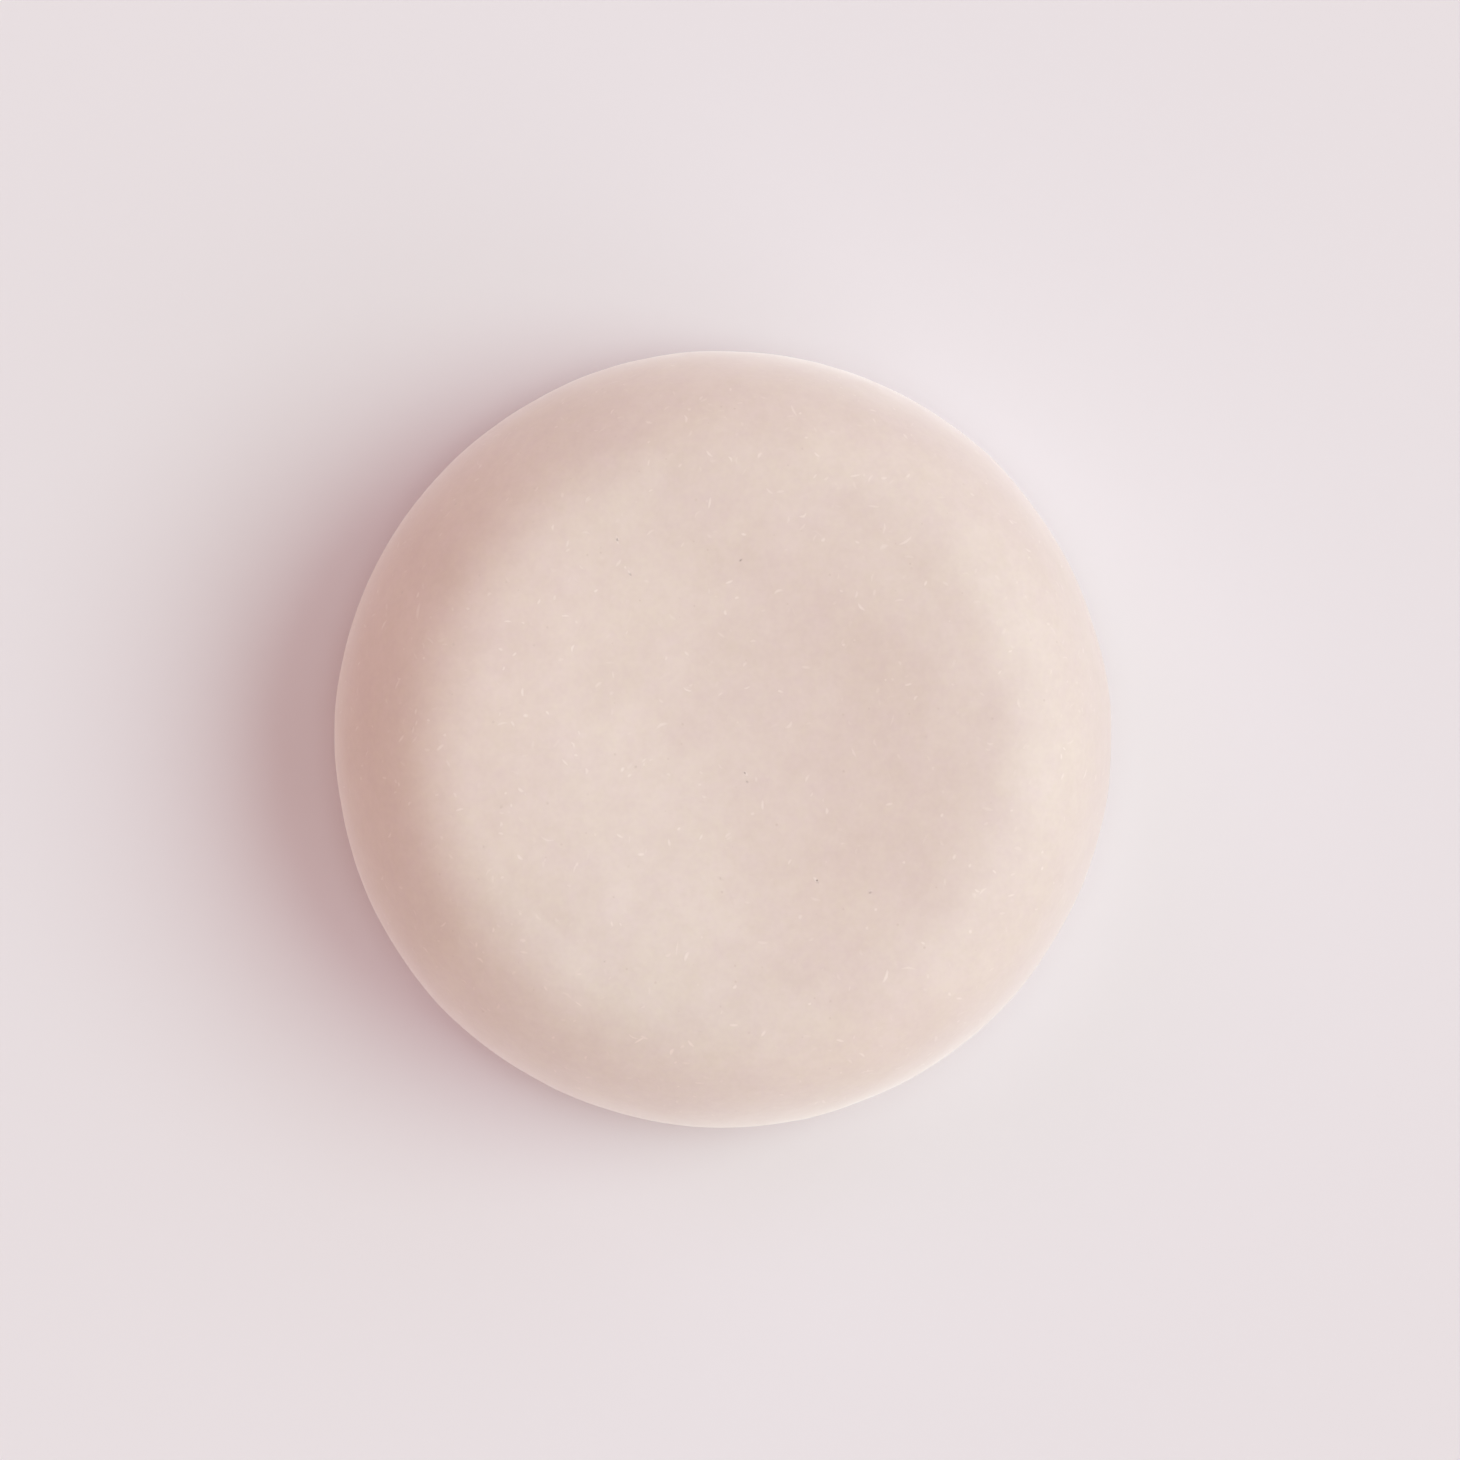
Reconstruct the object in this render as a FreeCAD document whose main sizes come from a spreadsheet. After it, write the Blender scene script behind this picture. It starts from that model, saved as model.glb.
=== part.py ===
"""A pressed round shampoo bar: one plump puck with a shallow dish in its top.

The bar stands on its flat base. Z is its axis, and the origin is the centre of the base. Its half section
has a base line, a side that bulges out to a belt, and a top line. The section is turned about Z, the dish
is scooped out of the top, and then the shoulder, the base edge and the dish's lip are rounded. What is left
of the top is a narrow flat ring, the highest part of the bar.
"""
import FreeCAD, Part
import math
import os

import Sketcher

NODE = "shampoo_bar"

# Driving sizes in millimetres.
SIZES = {
    "outer_diameter": 65.0,     # across the belt, the widest line of the side
    "overall_height": 26.0,     # from the base to the flat ring
    "belt_height": 10.7,        # from the base up to the belt
    "top_draft": 7.1,           # how far the side comes in from the belt to the top
    "base_draft": 3.2,          # how far the side comes in from the belt to the base
    "shoulder_radius": 9.0,     # rounding from the side over to the top
    "base_edge_radius": 4.5,    # rounding from the side under to the base
    "ring_width": 1.3,          # the flat ring, between the shoulder's rounding and the dish's
    "dish_depth": 1.4,          # from the ring down to the middle of the dish
    "dish_lip_radius": 48.0,    # soft rounding from the dish out to the ring
}

# Heights that the sketches and the roundings share, as expressions of the sheet's cells.
BASE_UP = "0"
BELT_UP = "Sizes.belt_height"
TOP_UP = "Sizes.overall_height"
DISH_FLOOR_UP = "Sizes.overall_height - Sizes.dish_depth"

# Distances out from the axis, in the same way. The side above the belt is one arc, upright at the belt.
# The shoulder's rounding touches it and the top, so the two radii give where the ring starts. The lip's
# rounding touches the ring and the dish, so its radius gives where the dish would meet the top without it.
BELT_OUT = "Sizes.outer_diameter / 2"
BASE_CORNER_OUT = f"{BELT_OUT} - Sizes.base_draft"
TOP_CORNER_OUT = f"{BELT_OUT} - Sizes.top_draft"
SIDE_RISE = f"({TOP_UP} - {BELT_UP})"
SIDE_RADIUS = f"(({SIDE_RISE}^2 + Sizes.top_draft^2) / (2 * Sizes.top_draft))"
RING_OUTER = (
    f"({BELT_OUT} - {SIDE_RADIUS}"
    f" + sqrt(({SIDE_RADIUS} - Sizes.shoulder_radius)^2 - ({SIDE_RISE} - Sizes.shoulder_radius)^2))"
)
RING_INNER = f"({RING_OUTER} - Sizes.ring_width)"
DISH_EDGE_OUT = f"sqrt({RING_INNER}^2 - 2 * Sizes.dish_depth * Sizes.dish_lip_radius)"

FULL_TURN = 360.0               # in degrees, as features take it
QUARTER_TURN = math.pi / 2      # in radians, as arcs take it
TOLERANCE = 1e-4                # how near an edge lies to where it is looked for

# How a sketch numbers the points of a piece of geometry, and its own origin and upright axis.
START, END, CENTRE = 1, 2, 3
ORIGIN = (-1, START)
UPRIGHT_AXIS = -2

doc = FreeCAD.newDocument("ShampooBar")
sheet = doc.addObject("Spreadsheet::Sheet", "Sizes")
for row, (size_name, size) in enumerate(SIZES.items(), start=1):
    sheet.set(f"A{row}", size_name)
    sheet.set(f"B{row}", str(size))
    sheet.setAlias(f"B{row}", size_name)
doc.recompute()


def value(expression):
    """An expression of the sheet's cells as a plain number."""
    return float(sheet.evalExpression(expression))


def point(out, up):
    """A point of a sketch: out from the bar's axis, and up it."""
    return FreeCAD.Vector(out, up, 0)


def arc(centre, radius, first_angle, last_angle):
    """An anticlockwise arc between two angles in radians, measured from the outward direction."""
    circle = Part.Circle(centre, FreeCAD.Vector(0, 0, 1), radius)
    return Part.ArcOfCircle(circle, first_angle, last_angle)


def arc_radius(height, half_chord):
    """The radius of an arc from its height above its chord and half its chord."""
    return (height ** 2 + half_chord ** 2) / (2 * height)


def add_sketch(body, name):
    """An empty sketch on the body's XZ plane."""
    plane = next(item for item in body.Origin.OriginFeatures if item.Role == "XZ_Plane")
    sketch = body.newObject("Sketcher::SketchObject", name)
    sketch.AttachmentSupport = [(plane, "")]
    sketch.MapMode = "FlatFace"
    return sketch


def join(sketch, first, second):
    """Makes two points of the sketch, each a (geometry, point) pair, the same point."""
    sketch.addConstraint(Sketcher.Constraint("Coincident", *first, *second))


def place(sketch, item, out=None, up=None):
    """Holds a point of the sketch at its distance out from the axis, or up from the base, or both."""
    for kind, expression in (("DistanceX", out), ("DistanceY", up)):
        if expression:
            index = sketch.addConstraint(Sketcher.Constraint(kind, *ORIGIN, *item, value(expression)))
            sketch.setExpression(f"Constraints[{index}]", expression)


def add_section(body):
    """The puck's half section: base, lower and upper side arcs that meet upright at the belt, top, axis."""
    belt_out, belt_up, top_up = value(BELT_OUT), value(BELT_UP), value(TOP_UP)
    base_out, top_out = value(BASE_CORNER_OUT), value(TOP_CORNER_OUT)
    lower_radius = arc_radius(belt_out - base_out, belt_up)
    upper_radius = value(SIDE_RADIUS)
    lower_angle = math.asin(belt_up / lower_radius)
    upper_angle = math.asin((top_up - belt_up) / upper_radius)

    sketch = add_sketch(body, "PuckSection")
    base = sketch.addGeometry(Part.LineSegment(point(0, 0), point(base_out, 0)))
    lower = sketch.addGeometry(arc(point(belt_out - lower_radius, belt_up), lower_radius, -lower_angle, 0))
    upper = sketch.addGeometry(arc(point(belt_out - upper_radius, belt_up), upper_radius, 0, upper_angle))
    top = sketch.addGeometry(Part.LineSegment(point(top_out, top_up), point(0, top_up)))
    axis = sketch.addGeometry(Part.LineSegment(point(0, top_up), point(0, 0)))

    join(sketch, (base, START), ORIGIN)
    for item, following in ((base, lower), (lower, upper), (upper, top), (top, axis), (axis, base)):
        join(sketch, (item, END), (following, START))
    sketch.addConstraint(Sketcher.Constraint("Horizontal", base))
    sketch.addConstraint(Sketcher.Constraint("Horizontal", top))
    sketch.addConstraint(Sketcher.Constraint("Vertical", axis))
    sketch.addConstraint(Sketcher.Constraint("Horizontal", lower, CENTRE, lower, END))
    sketch.addConstraint(Sketcher.Constraint("Horizontal", upper, CENTRE, upper, START))
    place(sketch, (base, END), out=BASE_CORNER_OUT)
    place(sketch, (upper, START), out=BELT_OUT, up=BELT_UP)
    place(sketch, (upper, END), out=TOP_CORNER_OUT, up=TOP_UP)
    return sketch


def add_dish_section(body):
    """The dish's half section: a shallow arc centred on the axis, closed by the top line and the axis."""
    edge_out, floor_up, top_up = value(DISH_EDGE_OUT), value(DISH_FLOOR_UP), value(TOP_UP)
    radius = arc_radius(top_up - floor_up, edge_out)
    half_angle = math.asin(edge_out / radius)

    sketch = add_sketch(body, "DishSection")
    middle = point(0, floor_up + radius)
    bowl = sketch.addGeometry(arc(middle, radius, -QUARTER_TURN, half_angle - QUARTER_TURN))
    top = sketch.addGeometry(Part.LineSegment(point(edge_out, top_up), point(0, top_up)))
    axis = sketch.addGeometry(Part.LineSegment(point(0, top_up), point(0, floor_up)))

    for item, following in ((bowl, top), (top, axis), (axis, bowl)):
        join(sketch, (item, END), (following, START))
    sketch.addConstraint(Sketcher.Constraint("PointOnObject", bowl, CENTRE, UPRIGHT_AXIS))
    sketch.addConstraint(Sketcher.Constraint("PointOnObject", bowl, START, UPRIGHT_AXIS))
    sketch.addConstraint(Sketcher.Constraint("Horizontal", top))
    sketch.addConstraint(Sketcher.Constraint("Vertical", axis))
    place(sketch, (bowl, START), up=DISH_FLOOR_UP)
    place(sketch, (bowl, END), out=DISH_EDGE_OUT, up=TOP_UP)
    return sketch


def add_turned(body, kind, name, sketch):
    """A Revolution or a Groove that carries a sketch once round the bar's axis."""
    feature = body.newObject(kind, name)
    feature.Profile = sketch
    feature.ReferenceAxis = (sketch, ["V_Axis"])
    feature.Angle = FULL_TURN
    doc.recompute()
    return feature


def add_rounding(body, name, out, up, radius):
    """Rounds the circular edge at the given distance out from the axis and height up it."""
    before = body.Tip
    for number, edge in enumerate(before.Shape.Edges, start=1):
        circle = edge.Curve
        if isinstance(circle, Part.Circle) and abs(circle.Radius - value(out)) < TOLERANCE:
            if abs(circle.Center.z - value(up)) < TOLERANCE:
                break
    else:
        raise RuntimeError(f"{name}: no edge to round")
    fillet = body.newObject("PartDesign::Fillet", name)
    fillet.Base = (before, [f"Edge{number}"])
    fillet.setExpression("Radius", radius)
    doc.recompute()
    return fillet


def require(condition, complaint):
    if not condition:
        raise RuntimeError(complaint)


bar = doc.addObject("PartDesign::Body", "ShampooBar")
bar.Label = NODE
bar.Placement = FreeCAD.Placement()

puck = add_turned(bar, "PartDesign::Revolution", "Puck", add_section(bar))
dish = add_turned(bar, "PartDesign::Groove", "Dish", add_dish_section(bar))
shoulder = add_rounding(bar, "Shoulder", TOP_CORNER_OUT, TOP_UP, "Sizes.shoulder_radius")
base_edge = add_rounding(bar, "BaseEdge", BASE_CORNER_OUT, BASE_UP, "Sizes.base_edge_radius")
lip = add_rounding(bar, "DishLip", DISH_EDGE_OUT, TOP_UP, "Sizes.dish_lip_radius")
doc.recompute()

for item in doc.Objects:
    require("Invalid" not in item.State and "Error" not in item.State, f"{item.Name}: {item.State}")
    if item.TypeId == "Sketcher::SketchObject":
        require(item.FullyConstrained, f"{item.Name}: not fully constrained")
require(not bar.Shape.isNull() and bar.Shape.isValid(), "the bar has no valid shape")
require(len(bar.Shape.Solids) == 1, "the bar is not one solid")
for before, after in ((puck, dish), (dish, shoulder), (shoulder, base_edge), (base_edge, lip)):
    require(after.Shape.Volume < before.Shape.Volume, f"{after.Name}: took nothing away")

os.makedirs("parts", exist_ok=True)
bar.Shape.exportStep(f"parts/{NODE}.step")
print(f"{NODE}: {bar.Shape.Volume / 1000:.2f} cm3, box {bar.Shape.BoundBox}")
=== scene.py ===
"""Looks of a round pressed shampoo bar: its soft, slightly uneven surface, the pale grains in its paste, and
plain studio light over a pale floor. All lengths are in metres."""
import math

import bpy
import numpy as np
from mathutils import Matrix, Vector


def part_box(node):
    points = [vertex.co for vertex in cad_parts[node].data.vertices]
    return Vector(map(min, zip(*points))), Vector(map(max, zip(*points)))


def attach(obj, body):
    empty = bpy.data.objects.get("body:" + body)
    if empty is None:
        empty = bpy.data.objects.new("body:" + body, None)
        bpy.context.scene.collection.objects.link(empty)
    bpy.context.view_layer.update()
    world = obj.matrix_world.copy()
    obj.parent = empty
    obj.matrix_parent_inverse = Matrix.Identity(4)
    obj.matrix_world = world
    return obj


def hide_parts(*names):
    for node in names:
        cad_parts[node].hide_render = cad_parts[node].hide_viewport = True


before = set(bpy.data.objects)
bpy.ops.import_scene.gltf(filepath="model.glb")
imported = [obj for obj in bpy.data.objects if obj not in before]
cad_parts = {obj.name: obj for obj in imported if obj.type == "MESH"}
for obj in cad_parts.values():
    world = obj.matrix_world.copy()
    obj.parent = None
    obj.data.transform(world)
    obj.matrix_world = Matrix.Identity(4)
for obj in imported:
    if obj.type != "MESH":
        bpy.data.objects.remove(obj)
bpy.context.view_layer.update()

NODE = "shampoo_bar"
BODY = "root"
MM = 0.001

# The bar's section, as the frame has it. The outer radius and the height come from the frame's box.
LOWEST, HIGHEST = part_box(NODE)
RADIUS = HIGHEST.x
HEIGHT = HIGHEST.z
BELT_UP = 10.7 * MM
BASE_DRAFT = 3.2 * MM
BASE_EDGE_RADIUS = 4.5 * MM
RING_WIDTH = 1.3 * MM
DISH_DEPTH = 1.4 * MM
DISH_LIP_RADIUS = 48.0 * MM

# A pressed and handled bar has no sharp change of bend: how far along the section each one is eased, how many
# times that far the easing is felt, into how many steps the section is divided for it, and how many points an
# arc of the section has.
EASE = 0.7 * MM
EASE_REACH = 3
EASE_STEPS = 3000
ARC_POINTS = 400

# How finely the bar's skin is divided: columns round it, and rings over its top and side and over its base.
COLUMNS = 336
SKIN_RINGS = 268
BASE_RINGS = 14

# The skin's unevenness, as hand-pressed paste has it: the seed of its draw, how many waves, between which
# lengths, how much they tilt the skin together, and how far up from the base they are still weak.
WAVE_SEED = 11
WAVES = 60
WAVE_LENGTHS = (2.5 * MM, 24.0 * MM)
WAVE_TILT = math.radians(1.3)
BASE_FADE = 2.0 * MM

# The bar isn't quite true. On one side, at this angle from +X, the shoulder is rounder and the side draws in
# less than on the other. The first of each pair is the rounder side's, and the frame's own sizes, 9.0 and
# 7.1 mm, lie within them. The dish's floor also rises and falls twice round, by this much at the most.
ROUNDER_SIDE = math.radians(-25)
SHOULDER_RADII = (9.0 * MM, 8.0 * MM)
TOP_DRAFTS = (5.5 * MM, 8.8 * MM)
DISH_TWIST = 0.18 * MM

# The pale grains and fibres in the skin: the seed of their draw, how many, their usual half length and half
# width and how much those spread, the width half as much, how far they bend and rise, how much of one is its
# flat top, how many points go round it, and where along the section they lie.
GRAIN_SEED = 23
GRAINS = 3600
GRAIN_HALF_LENGTH = 0.33 * MM
GRAIN_HALF_WIDTH = 0.14 * MM
GRAIN_SPREAD = 0.38
GRAIN_BEND = 0.25
GRAIN_RISE = 0.003 * MM
GRAIN_TOP_PART = 0.6
GRAIN_COLUMNS = 8
GRAIN_REACH = (0.03, 0.95)

# How pale the grains are: most of them are faint, and each is fainter towards its edge. The mesh holds it in
# this attribute.
GRAIN_FAINTNESS = 3.9
GRAIN_RIM_SHADE = 0.6
GRAIN_SHADE = "grain_shade"

# Colours are linear.
PASTE_LIGHT = (0.800, 0.650, 0.587)
PASTE_DARK = (0.752, 0.598, 0.543)
GRAIN_PALEST = (0.900, 0.750, 0.692)
# The pores' colour is painted shade in the pits.
PAINTED_PORE_SHADE = (0.690, 0.535, 0.475)
FLOOR = (0.838, 0.760, 0.784)
BACKDROP = (0.807, 0.745, 0.760)

# The paste isn't evenly mixed: small patches are rosier or yellower. On the half away from the key light it
# also has painted shade: pinker and darker on one side, paler and lighter on the next. These four multiply
# the paste's colour. The last two meet at this angle round from -X, and reach full strength at this product
# of distances in radii.
ROSY_PATCH = (1.0, 0.991, 1.018)
YELLOW_PATCH = (1.0, 1.009, 0.982)
PAINTED_PINK_SHADE = (0.985, 0.925, 0.920)
PAINTED_PALE_SHADE = (1.015, 1.066, 1.070)
SHADE_SIDES_TURN = math.radians(25)
SHADE_SIDES_REACH = 0.47

# The paste's patches: their size, how many finer layers the noise has and how strong each finer one is, and
# which part of the noise they use.
PATCH_SIZE = 12.0 * MM
PATCH_DETAIL = 5.0
PATCH_HARSHNESS = 1.0
PATCH_RANGE = (0.36, 0.64)

# The paste's finish: its roughness, its gloss, its powdery sheen, its tooth, and its open pores. A pore's
# size is in spacings, and its depth in tooth heights.
PASTE_ROUGHNESS = 0.6
PASTE_GLOSS = 0.3
SHEEN = 1.0
SHEEN_SPREAD = 0.5
SHEEN_TINT = (1.0, 0.92, 0.9)
TOOTH_SIZE = 1.2 * MM
TOOTH_DETAIL = 2.0
TOOTH_HEIGHT = 0.012 * MM
PORE_SPACING = 1.1 * MM
PORE_SHARE = 0.5
PORE_SIZE = 0.16
PORE_DEPTH = 0.5

# The studio: the floor sheet, and the linear colours and strengths of the light from all round, of its part
# from the side and of its part from low down. Each of those two falls off with a power.
FLOOR_SIZE = 4.0
FLOOR_ROUGHNESS = 0.9
AIR_LIGHT = (0.374, 0.223, 0.179)
SIDE_LIGHT = (0.418, 0.620, 0.822)
LOW_LIGHT = (0.347, 0.211, 0.065)
SIDE_POWER = 2.0
LOW_POWER = 3.0

# Each sun's name, the side it stands on in degrees from +X, its height over the floor and its width, both in
# degrees too, and its strength in red, green and blue.
SUNS = (
    ("key", 3, 50, 40, (1.053, 1.484, 1.400)),
    ("overhead", 0, 90, 25, (0.407, 0.520, 0.520)),
    ("side_back", 48, 35, 30, (0.110, 0.161, 0.206)),
    ("side_front", -42, 35, 30, (0.241, 0.252, 0.300)),
    ("far_back", 138, 50, 30, (0.203, 0.172, 0.258)),
    ("far_front", -132, 50, 30, (0.029, 0.034, 0.055)),
)

# The camera: its sensor's width in millimetres, its height, how high up the bar's outline is seen from there,
# how much of the picture's width the outline's radius takes, and its shift.
SENSOR = 36.0
CAMERA_UP = 0.613
OUTLINE_UP = 11.8 * MM
OUTLINE_SHARE = 0.2661
CAMERA_SHIFT = (0.0048, 0.0062)


# ---- the bar's section -------------------------------------------------------------------------------------

def arc_radius(height, half_chord):
    """The radius of an arc from its height above its chord and half its chord."""
    return (height ** 2 + half_chord ** 2) / (2 * height)


def arc(centre, radius, first, last):
    """Points of a circle's arc. An angle is measured down from straight up, outwards from the bar's axis."""
    angle = np.linspace(first, last, ARC_POINTS)
    return np.stack([centre[0] + radius * np.sin(angle), centre[1] + radius * np.cos(angle)], axis=1)


def half_section(shoulder_radius, top_draft):
    """The section's outline from the middle of the dish out over the side and under to the flat base.

    It is a chain of arcs, each tangent to the next: the dish, its lip, a flat ring, the shoulder, the side
    above the belt, the side under it and the base edge. A rounding's centre lies at the sum or the difference
    of the two radii from the centre of the arc that it touches.
    """
    upper = arc_radius(top_draft, HEIGHT - BELT_UP)
    lower = arc_radius(BASE_DRAFT, BELT_UP)
    upper_middle = (RADIUS - upper, BELT_UP)
    lower_middle = (RADIUS - lower, BELT_UP)

    shoulder_up = HEIGHT - shoulder_radius
    shoulder_in = math.sqrt((upper - shoulder_radius) ** 2 - (shoulder_up - BELT_UP) ** 2)
    shoulder_middle = (upper_middle[0] + shoulder_in, shoulder_up)
    shoulder_turn = math.atan2(shoulder_in, shoulder_up - BELT_UP)

    edge_in = math.sqrt((lower - BASE_EDGE_RADIUS) ** 2 - (BELT_UP - BASE_EDGE_RADIUS) ** 2)
    edge_middle = (lower_middle[0] + edge_in, BASE_EDGE_RADIUS)
    edge_turn = math.pi - math.atan2(edge_in, BELT_UP - BASE_EDGE_RADIUS)

    lip_out = shoulder_middle[0] - RING_WIDTH
    lip_middle = (lip_out, HEIGHT - DISH_LIP_RADIUS)
    dish = arc_radius(DISH_DEPTH, math.sqrt(lip_out ** 2 - 2 * DISH_DEPTH * DISH_LIP_RADIUS))
    dish_middle = (0, HEIGHT - DISH_DEPTH + dish)
    lip_turn = math.atan2(lip_out, dish_middle[1] - lip_middle[1])

    return np.concatenate([
        arc(dish_middle, dish, math.pi, math.pi - lip_turn),
        arc(lip_middle, DISH_LIP_RADIUS, -lip_turn, 0)[1:],
        arc(shoulder_middle, shoulder_radius, 0, shoulder_turn),
        arc(upper_middle, upper, shoulder_turn, math.pi / 2)[1:],
        arc(lower_middle, lower, math.pi / 2, edge_turn)[1:],
        arc(edge_middle, BASE_EDGE_RADIUS, edge_turn, math.pi)[1:],
    ])


def steps(points):
    """The lengths of the steps from each point of an outline to the next."""
    return np.hypot(*np.diff(points, axis=0).T)


def eased(points):
    """The outline with each change of bend eased.

    The outline and its mirror image are divided evenly, and each point becomes the mean of its neighbours,
    under a bell-shaped weight. Past each end the line is carried on turned half round its end point.
    """
    whole = np.concatenate([points[:0:-1] * (-1, 1), points])
    travel = np.concatenate([[0], np.cumsum(steps(whole))])
    even, step = np.linspace(0, travel[-1], 2 * EASE_STEPS + 1, retstep=True)
    reach = int(EASE_REACH * EASE / step)
    weight = np.exp(-0.5 * (np.arange(-reach, reach + 1) * step / EASE) ** 2)
    weight /= weight.sum()
    divided = [np.interp(even, travel, side) for side in whole.T]
    carried_on = [np.pad(side, reach, mode="reflect", reflect_type="odd") for side in divided]
    return np.stack([np.convolve(side, weight, mode="valid") for side in carried_on], axis=1)[EASE_STEPS:]


OUTLINES = np.stack([eased(half_section(*sizes)) for sizes in zip(SHOULDER_RADII, TOP_DRAFTS)])
WAY = np.linspace(0, 1, EASE_STEPS + 1)
MEAN_OUTLINE = OUTLINES.mean(axis=0)
MEAN_LENGTH = steps(MEAN_OUTLINE).sum()
RING_AT = WAY[np.argmax(MEAN_OUTLINE[:, 1])]


# ---- the bar's skin ----------------------------------------------------------------------------------------

def make_waves():
    """Turns per metre, heights and phases of the waves that make the skin uneven, the same on each run."""
    rng = np.random.default_rng(WAVE_SEED)
    way = rng.normal(size=(WAVES, 3))
    way /= np.linalg.norm(way, axis=1, keepdims=True)
    length = WAVE_LENGTHS[0] * (WAVE_LENGTHS[1] / WAVE_LENGTHS[0]) ** rng.random(WAVES)
    turn = 2 * math.pi / length
    height = WAVE_TILT * math.sqrt(2 / WAVES) / turn
    return way * turn[:, None], height, rng.uniform(0, 2 * math.pi, WAVES)


TURNS, HEIGHTS, PHASES = make_waves()


def section(way, angle):
    """How far out and how high the section is, this share of the way along it and at this angle round.

    It is a mean of the rounder side's outline and the other side's. The first one's weight is half of one
    plus the cosine of the angle from the rounder side. In the dish the section is lifted by the sine of twice
    the angle, most where the square of the share of the way to the ring is a half.
    """
    weight = (1 + np.cos(angle - ROUNDER_SIDE)) / 2
    out, up = (weight * np.interp(way, WAY, first) + (1 - weight) * np.interp(way, WAY, last)
               for first, last in zip(*OUTLINES.swapaxes(1, 2)))
    in_dish = np.clip(way / RING_AT, 0, 1) ** 2
    return out, up + DISH_TWIST * np.sin(2 * angle) * 4 * in_dish * (1 - in_dish)


def skin(way, angle):
    """Points and outward normals of the skin.

    A point is found by its share of the way along the section from the middle of the dish, and by its angle
    round the axis. It is then moved along the section's normal by the sum of the waves there, which fades out
    down to the base, so that the bar still stands flat. The normals are the section's own.
    """
    way, angle = np.broadcast_arrays(way, angle)
    out, up = section(way, angle)
    before, after = section(way - 1 / EASE_STEPS, angle), section(way + 1 / EASE_STEPS, angle)
    run, rise = after[0] - before[0], after[1] - before[1]
    steep = np.hypot(run, rise)
    normal_out = -rise / steep
    points = np.stack([out * np.cos(angle), out * np.sin(angle), up], axis=-1)
    normals = np.stack([normal_out * np.cos(angle), normal_out * np.sin(angle), run / steep], axis=-1)
    lift = (np.sin(points @ TURNS.T + PHASES) * HEIGHTS).sum(axis=-1)
    lift = lift * np.clip(up / BASE_FADE, 0, 1) ** 2
    return points + normals * lift[..., None], normals


def closed_mesh(name, rings, first, last):
    """A closed mesh from rings of points and one point at each end. The rings follow one another along the
    outline, and their points run round the axis."""
    count, columns, _ = rings.shape
    points = np.concatenate([rings.reshape(-1, 3), [first, last]])
    start = np.arange(count - 1)[:, None] * columns
    here = np.arange(columns)
    beside = (here + 1) % columns
    below = start + columns
    quads = np.stack([start + here, below + here, below + beside, start + beside], axis=-1)
    end = (count - 1) * columns
    first_fan = np.stack([np.full(columns, end + columns), here, beside], axis=-1)
    last_fan = np.stack([np.full(columns, end + columns + 1), end + beside, end + here], axis=-1)

    mesh = bpy.data.meshes.new(name)
    faces = quads.reshape(-1, 4).tolist() + first_fan.tolist() + last_fan.tolist()
    mesh.from_pydata(points.tolist(), [], faces)
    mesh.shade_smooth()
    return mesh


def add_piece(name, mesh, material):
    """Put a mesh into the scene as a piece of the bar, in its own finish."""
    mesh.materials.append(material)
    piece = bpy.data.objects.new(name, mesh)
    bpy.context.scene.collection.objects.link(piece)
    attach(piece, BODY)
    return piece


def add_bar(material):
    """The bar's whole skin: even rings over the dish and down the side, then rings across the flat base."""
    angle = np.linspace(0, 2 * math.pi, COLUMNS, endpoint=False)
    upper, _ = skin(np.linspace(0, 1, SKIN_RINGS + 1)[1:, None], angle)
    across = 1 - np.arange(1, BASE_RINGS)[:, None, None] / BASE_RINGS
    base = upper[-1] * across
    base[..., 2] = LOWEST.z
    middle = skin(np.zeros(1), np.zeros(1))[0][0]
    mesh = closed_mesh("bar_skin", np.concatenate([upper, base]), middle, (0, 0, LOWEST.z))
    bar = add_piece("bar_skin", mesh, material)
    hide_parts(NODE)


# ---- the pale grains ---------------------------------------------------------------------------------------

def scatter():
    """Where the grains lie, even over the skin and the same on each run.

    Returns their shares of the way, their angles and the draw, which their shapes go on with.
    """
    rng = np.random.default_rng(GRAIN_SEED)
    out = MEAN_OUTLINE[:, 0]
    area = np.concatenate([[0], np.cumsum(steps(MEAN_OUTLINE) * (out[1:] + out[:-1]))])
    way = np.interp(rng.uniform(*np.interp(GRAIN_REACH, WAY, area), GRAINS), area, WAY)
    return way, rng.uniform(0, 2 * math.pi, GRAINS), rng


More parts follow.
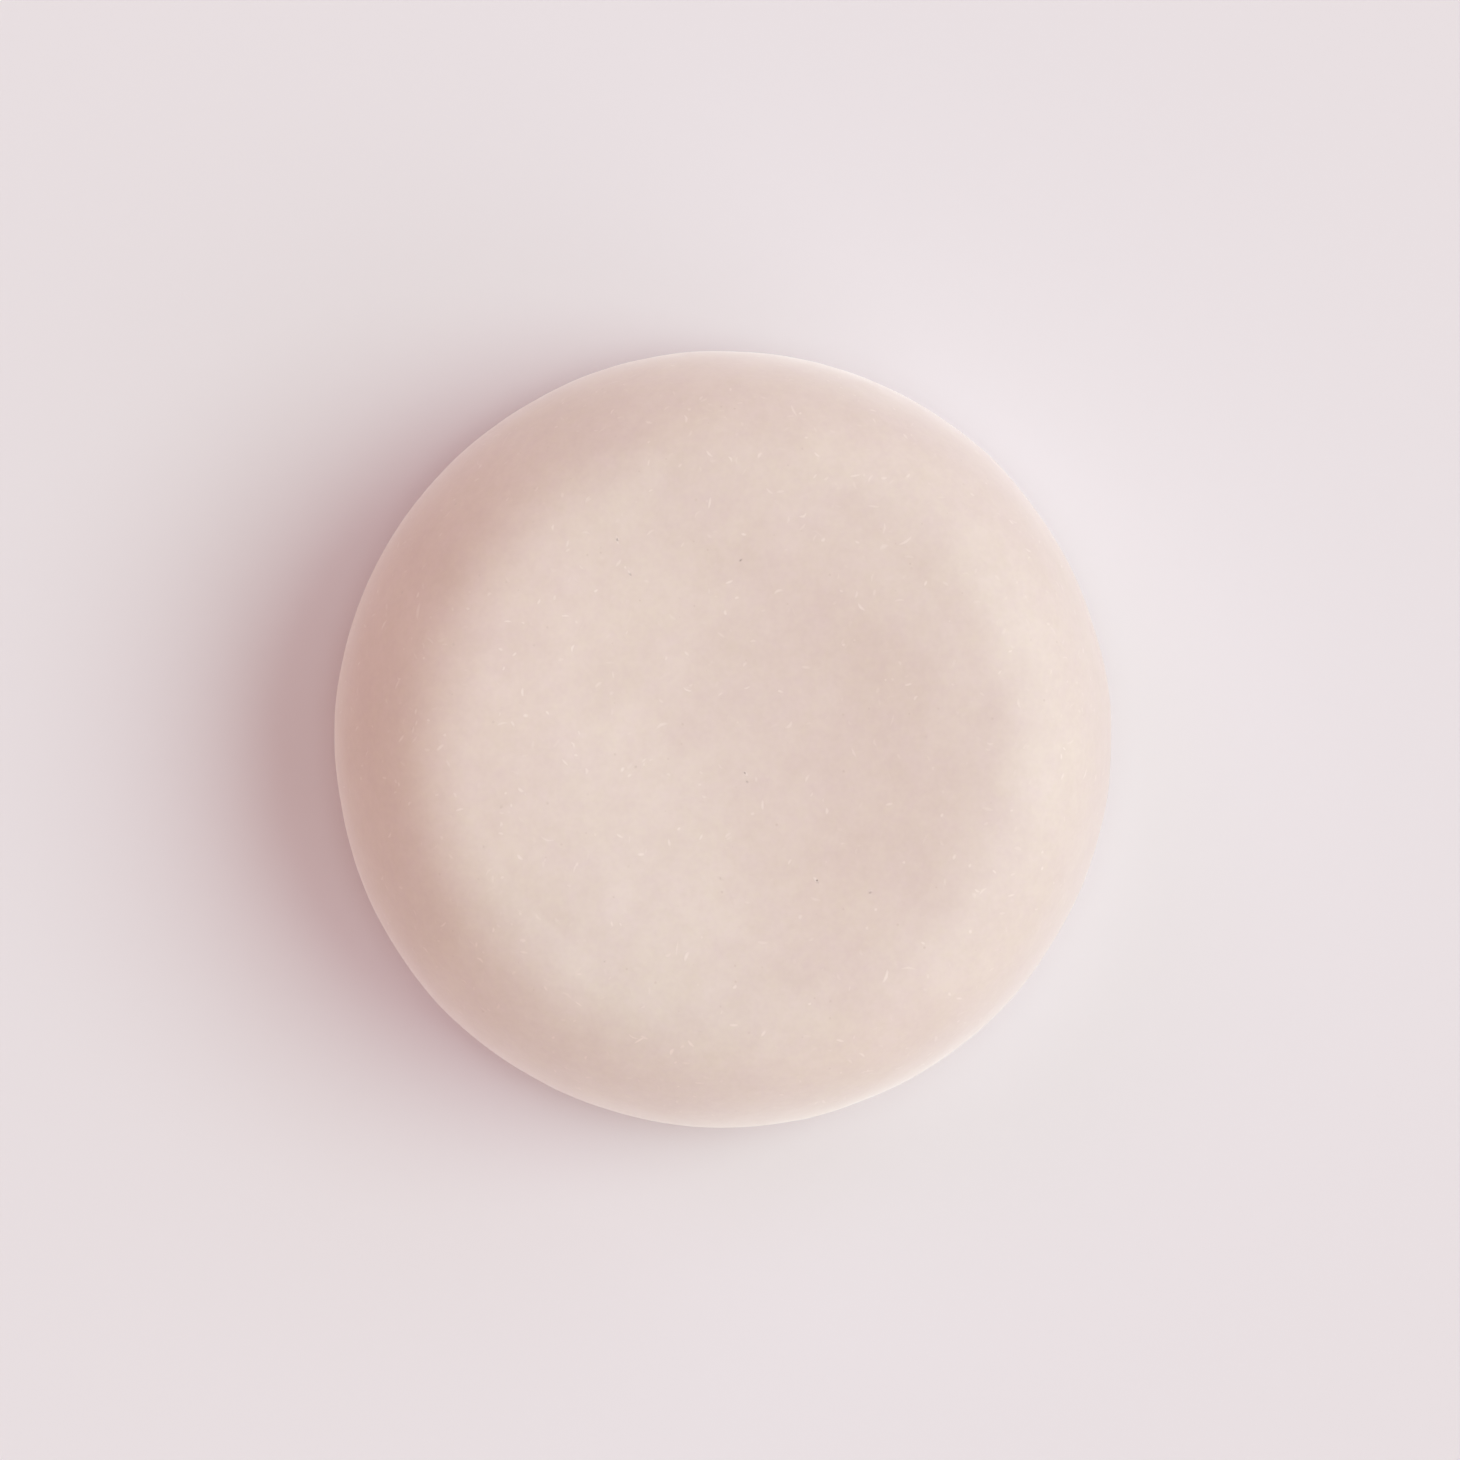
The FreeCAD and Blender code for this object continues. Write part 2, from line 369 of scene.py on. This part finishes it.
def add_grains(material):
    """Thin flat-topped grains and short fibres, each laid along the skin and set into it.

    A grain is a ring of points on a long ellipse one rise under the skin, a smaller one as far over it, a
    point in the middle of its flat top and a point twice as far under. It bends sideways with the square of
    the distance from its middle. Each point is found on the skin from its distances along the section and
    round the axis from the grain's middle, and takes the skin's own normal, so that a grain shades as the
    skin does.
    """
    way, angle, rng = scatter()
    lean = rng.uniform(0, math.pi, GRAINS)[:, None]
    long = GRAIN_HALF_LENGTH * np.exp(rng.normal(0, GRAIN_SPREAD, GRAINS))[:, None]
    wide = np.minimum(GRAIN_HALF_WIDTH * np.exp(rng.normal(0, GRAIN_SPREAD / 2, GRAINS))[:, None], long)
    bend = rng.normal(0, GRAIN_BEND, GRAINS)[:, None] / long

    turn = np.linspace(0, 2 * math.pi, GRAIN_COLUMNS, endpoint=False)
    reach = np.concatenate([np.full(GRAIN_COLUMNS, GRAIN_TOP_PART), np.ones(GRAIN_COLUMNS), [0, 0]])
    turn = np.concatenate([turn, turn, [0, 0]])
    height = GRAIN_RISE * np.concatenate([np.ones(GRAIN_COLUMNS), -np.ones(GRAIN_COLUMNS), [1, -2]])
    x = long * reach * np.cos(turn)
    y = wide * reach * np.sin(turn) + bend * x ** 2
    along = x * np.cos(lean) - y * np.sin(lean)
    around = x * np.sin(lean) + y * np.cos(lean)
    out = section(way, angle)[0]
    points, normals = skin(way[:, None] + along / MEAN_LENGTH, angle[:, None] + around / out[:, None])
    points = points + normals * height[:, None]

    here = np.arange(GRAIN_COLUMNS)
    beside = (here + 1) % GRAIN_COLUMNS
    top = np.full(GRAIN_COLUMNS, 2 * GRAIN_COLUMNS)
    outer_here = here + GRAIN_COLUMNS
    outer_beside = beside + GRAIN_COLUMNS
    walls = np.stack([here, outer_here, outer_beside, here, outer_beside, beside])
    faces = np.concatenate([np.stack([top, here, beside], axis=-1), walls.T.reshape(-1, 3),
                            np.stack([top + 1, outer_beside, outer_here], axis=-1)])
    count = points.shape[1]
    faces = faces + np.arange(GRAINS)[:, None, None] * count

    mesh = bpy.data.meshes.new("pale_grains")
    mesh.from_pydata(points.reshape(-1, 3).tolist(), [], faces.reshape(-1, 3).tolist())
    mesh.normals_split_custom_set_from_vertices(normals.reshape(-1, 3).tolist())
    shade = rng.random(GRAINS)[:, None] ** GRAIN_FAINTNESS * np.concatenate([
        np.full(GRAIN_COLUMNS, GRAIN_RIM_SHADE), np.zeros(GRAIN_COLUMNS), [1, 0]])
    mesh.attributes.new(GRAIN_SHADE, "FLOAT", "POINT").data.foreach_set("value", shade.ravel())
    add_piece("pale_grains", mesh, material)


# ---- finishes ----------------------------------------------------------------------------------------------

def add_node(tree, kind, values=None, **settings):
    """Add a node. Settings are its properties; values are its inputs' values or what feeds them."""
    made = tree.nodes.new(kind)
    for name, value in settings.items():
        setattr(made, name, value)
    for name, value in (values or {}).items():
        if isinstance(value, bpy.types.NodeSocket):
            tree.links.new(value, made.inputs[name])
        else:
            made.inputs[name].default_value = value
    return made


def mix_colours(tree, amount, first, second, blend="MIX"):
    """A colour that goes from the first to the second, or to their product, as the amount goes from 0 to 1.

    A Mix node's sockets for colours are known by their numbers: its names stand for numbers and vectors too.
    """
    values = {0: amount, 6: first, 7: second}
    return add_node(tree, "ShaderNodeMix", values, data_type="RGBA", blend_type=blend).outputs[2]


def new_group(name, inputs, outputs):
    """An empty node group. Returns the group, what comes in and what goes out."""
    group = bpy.data.node_groups.new(name, "ShaderNodeTree")
    for label, (kind, value) in inputs.items():
        socket = group.interface.new_socket(label, in_out="INPUT", socket_type=kind)
        if value is not None:
            socket.default_value = value
    for label, kind in outputs.items():
        group.interface.new_socket(label, in_out="OUTPUT", socket_type=kind)
    return group, group.nodes.new("NodeGroupInput").outputs, group.nodes.new("NodeGroupOutput").inputs


def stretch(tree, value, low, high):
    """The value's place between the low and the high one, held between 0 and 1."""
    made = add_node(tree, "ShaderNodeMapRange", {"Value": value, "From Min": low, "From Max": high})
    return made.outputs[0]


def make_paste_body():
    """The paste's look wherever it shows: slow changes of tone and hue, painted shade, and a fine tooth.

    The tone goes between a light and a dark paste colour with a slow noise, and the patches' hue with another
    channel of it. The painted shade, pinker and darker on one side and paler and lighter on the next, goes
    with the product of two distances from the axis, in the half where the first one is below zero, which is
    the half away from the key light. The height is a fine noise.
    """
    group, given, result = new_group(
        "paste_body",
        {"Place": ("NodeSocketVector", None), "Patch Size": ("NodeSocketFloat", PATCH_SIZE),
         "Tooth Size": ("NodeSocketFloat", TOOTH_SIZE), "Light": ("NodeSocketColor", (1, 1, 1, 1)),
         "Dark": ("NodeSocketColor", (0, 0, 0, 1))},
        {"Color": "NodeSocketColor", "Height": "NodeSocketFloat"})
    fineness = [add_node(group, "ShaderNodeMath", {0: 1.0, 1: given[size]}, operation="DIVIDE").outputs[0]
                for size in ("Patch Size", "Tooth Size")]
    tone = add_node(group, "ShaderNodeTexNoise", {
        "Vector": given["Place"], "Scale": fineness[0], "Detail": PATCH_DETAIL, "Roughness": PATCH_HARSHNESS})
    tooth = add_node(group, "ShaderNodeTexNoise", {
        "Vector": given["Place"], "Scale": fineness[1], "Detail": TOOTH_DETAIL})
    hue = add_node(group, "ShaderNodeSeparateColor", {"Color": tone.outputs["Color"]}).outputs[1]
    turned = add_node(group, "ShaderNodeVectorRotate", {"Vector": given["Place"], "Angle": -SHADE_SIDES_TURN},
                      rotation_type="Z_AXIS")
    parts = add_node(group, "ShaderNodeSeparateXYZ", {0: turned.outputs[0]}).outputs
    inner = add_node(group, "ShaderNodeMath", {0: parts["X"], 1: 0.0}, operation="MINIMUM")
    across = add_node(group, "ShaderNodeMath", {0: inner.outputs[0], 1: parts["Y"]}, operation="MULTIPLY")
    edge = SHADE_SIDES_REACH * RADIUS ** 2

    lightness = stretch(group, tone.outputs["Fac"], *PATCH_RANGE)
    colour = mix_colours(group, lightness, given["Dark"], given["Light"])
    yellowness = stretch(group, hue, *PATCH_RANGE)
    patch = mix_colours(group, yellowness, (*ROSY_PATCH, 1), (*YELLOW_PATCH, 1))
    # Painted shade: on the half away from the key light, pinker and darker on one side, paler and lighter on
    # the next.
    painted_shade_mix = stretch(group, across.outputs[0], -edge, edge)
    side = mix_colours(group, painted_shade_mix, (*PAINTED_PINK_SHADE, 1), (*PAINTED_PALE_SHADE, 1))
    colour = mix_colours(group, 1.0, colour, patch, "MULTIPLY")
    group.links.new(mix_colours(group, 1.0, colour, side, "MULTIPLY"), result["Color"])
    group.links.new(tooth.outputs["Fac"], result["Height"])
    return group


def new_finish(name, roughness):
    """A material of this roughness. Returns it, its node tree and its shader."""
    material = bpy.data.materials.new(name)
    material.use_nodes = True
    shader = material.node_tree.nodes["Principled BSDF"]
    shader.inputs["Roughness"].default_value = roughness
    return material, material.node_tree, shader


def add_paste_body(tree, group):
    """Place the paste's common look in a material, on the bar's own coordinates."""
    place = add_node(tree, "ShaderNodeTexCoord").outputs["Object"]
    body = add_node(tree, "ShaderNodeGroup", node_tree=group)
    tree.links.new(place, body.inputs["Place"])
    body.inputs["Light"].default_value = (*PASTE_LIGHT, 1)
    body.inputs["Dark"].default_value = (*PASTE_DARK, 1)
    return place, body


def set_powdery(shader):
    """The soft bloom of dry pressed paste: little gloss, and a warm sheen towards the edges."""
    shader.inputs["Specular IOR Level"].default_value = PASTE_GLOSS
    shader.inputs["Sheen Weight"].default_value = SHEEN
    shader.inputs["Sheen Tint"].default_value = (*SHEEN_TINT, 1)
    shader.inputs["Sheen Roughness"].default_value = SHEEN_SPREAD


def make_pressed_paste(group):
    """The bar's skin: the paste's common look, with small open pores that are lower and hold painted shade.
    """
    material, tree, shader = new_finish("pressed_paste", PASTE_ROUGHNESS)
    set_powdery(shader)
    place, body = add_paste_body(tree, group)
    cells = add_node(tree, "ShaderNodeTexVoronoi", {"Vector": place, "Scale": 1 / PORE_SPACING})
    middle = add_node(tree, "ShaderNodeSeparateColor", {"Color": cells.outputs["Color"]}).outputs[0]
    size = add_node(tree, "ShaderNodeMapRange", {
        "Value": middle, "From Min": 1 - PORE_SHARE, "From Max": 1.0, "To Min": 0.0, "To Max": PORE_SIZE})
    depth = add_node(tree, "ShaderNodeMapRange", {
        "Value": cells.outputs["Distance"], "From Min": size.outputs[0], "From Max": 0.0}, clamp=True)
    # Painted shade in the pores: they are coloured darker as well as made lower.
    colour = mix_colours(tree, depth.outputs[0], body.outputs["Color"], (*PAINTED_PORE_SHADE, 1))
    tree.links.new(colour, shader.inputs["Base Color"])
    level = add_node(tree, "ShaderNodeMath", {
        0: depth.outputs[0], 1: -PORE_DEPTH, 2: body.outputs["Height"]}, operation="MULTIPLY_ADD")
    bump = add_node(tree, "ShaderNodeBump", {"Height": level.outputs[0], "Distance": TOOTH_HEIGHT})
    tree.links.new(bump.outputs[0], shader.inputs["Normal"])
    return material


def make_pale_grain(group):
    """The grains: the paste's common look, paler by each grain's own amount."""
    material, tree, shader = new_finish("pale_grain", PASTE_ROUGHNESS)
    set_powdery(shader)
    _, body = add_paste_body(tree, group)
    shade = add_node(tree, "ShaderNodeAttribute", attribute_name=GRAIN_SHADE).outputs["Fac"]
    colour = mix_colours(tree, shade, body.outputs["Color"], (*GRAIN_PALEST, 1))
    tree.links.new(colour, shader.inputs["Base Color"])
    return material


# ---- the studio --------------------------------------------------------------------------------------------

def add_floor():
    """A plain pale sheet under the bar."""
    edge = FLOOR_SIZE / 2
    corners = [(x * edge, y * edge, LOWEST.z) for x, y in ((-1, -1), (1, -1), (1, 1), (-1, 1))]
    mesh = bpy.data.meshes.new("floor_sheet")
    mesh.from_pydata(corners, [], [(0, 1, 2, 3)])
    material, _, shader = new_finish("floor_sheet", FLOOR_ROUGHNESS)
    shader.inputs["Base Color"].default_value = (*FLOOR, 1)
    shader.inputs["Specular IOR Level"].default_value = 0
    mesh.materials.append(material)
    sheet = bpy.data.objects.new("floor_sheet", mesh)
    bpy.context.scene.collection.objects.link(sheet)


def add_suns():
    """Wide soft suns over and round the bar, the strongest on its +X side."""
    for name, side, rise, width, strength in SUNS:
        light = bpy.data.lights.new(name, "SUN")
        light.energy = max(strength)
        light.color = [part / max(strength) for part in strength]
        light.angle = math.radians(width)
        lamp = bpy.data.objects.new(name, light)
        side, rise = math.radians(side), math.radians(rise)
        towards = Vector((math.cos(rise) * math.cos(side), math.cos(rise) * math.sin(side), math.sin(rise)))
        lamp.rotation_euler = towards.to_track_quat("Z", "Y").to_euler()
        bpy.context.scene.collection.objects.link(lamp)


def add_world():
    """Light from all round: a plain part, and parts that grow towards +X and towards the horizon.

    Where it is looked at past the floor's edge it is plain and as pale as the floor.
    """
    world = bpy.data.worlds.new("studio")
    bpy.context.scene.world = world
    world.use_nodes = True
    tree = world.node_tree
    way = add_node(tree, "ShaderNodeTexCoord").outputs["Generated"]
    parts = add_node(tree, "ShaderNodeSeparateXYZ", {0: way}).outputs
    side = add_node(tree, "ShaderNodeMath", {0: parts["X"], 1: 0.0}, operation="MAXIMUM")
    side = add_node(tree, "ShaderNodeMath", {0: side.outputs[0], 1: SIDE_POWER}, operation="POWER")
    steep = add_node(tree, "ShaderNodeMath", {0: parts["Z"]}, operation="ABSOLUTE")
    low = add_node(tree, "ShaderNodeMath", {0: 1.0, 1: steep.outputs[0]}, operation="SUBTRACT")
    low = add_node(tree, "ShaderNodeMath", {0: low.outputs[0], 1: LOW_POWER}, operation="POWER")
    light = AIR_LIGHT
    for amount, colour in ((side, SIDE_LIGHT), (low, LOW_LIGHT)):
        values = {0: colour, "Scale": amount.outputs[0]}
        share = add_node(tree, "ShaderNodeVectorMath", values, operation="SCALE").outputs[0]
        light = add_node(tree, "ShaderNodeVectorMath", {0: light, 1: share}, operation="ADD").outputs[0]
    looked_at = add_node(tree, "ShaderNodeLightPath").outputs["Is Camera Ray"]
    light = mix_colours(tree, looked_at, light, (*BACKDROP, 1))
    tree.links.new(light, tree.nodes["Background"].inputs["Color"])


def add_camera():
    """A camera straight over the bar. Its lens gives the outline's radius its share of the picture."""
    lens = bpy.data.cameras.new("camera")
    lens.sensor_width = SENSOR
    lens.lens = SENSOR * OUTLINE_SHARE * (CAMERA_UP - OUTLINE_UP) / RADIUS
    lens.shift_x, lens.shift_y = CAMERA_SHIFT
    camera = bpy.data.objects.new("camera", lens)
    camera.location = (0, 0, CAMERA_UP)
    bpy.context.scene.collection.objects.link(camera)
    bpy.context.scene.camera = camera


paste_body = make_paste_body()
add_bar(make_pressed_paste(paste_body))
add_grains(make_pale_grain(paste_body))
add_floor()
add_suns()
add_world()
add_camera()
bpy.context.scene.view_settings.view_transform = "Standard"
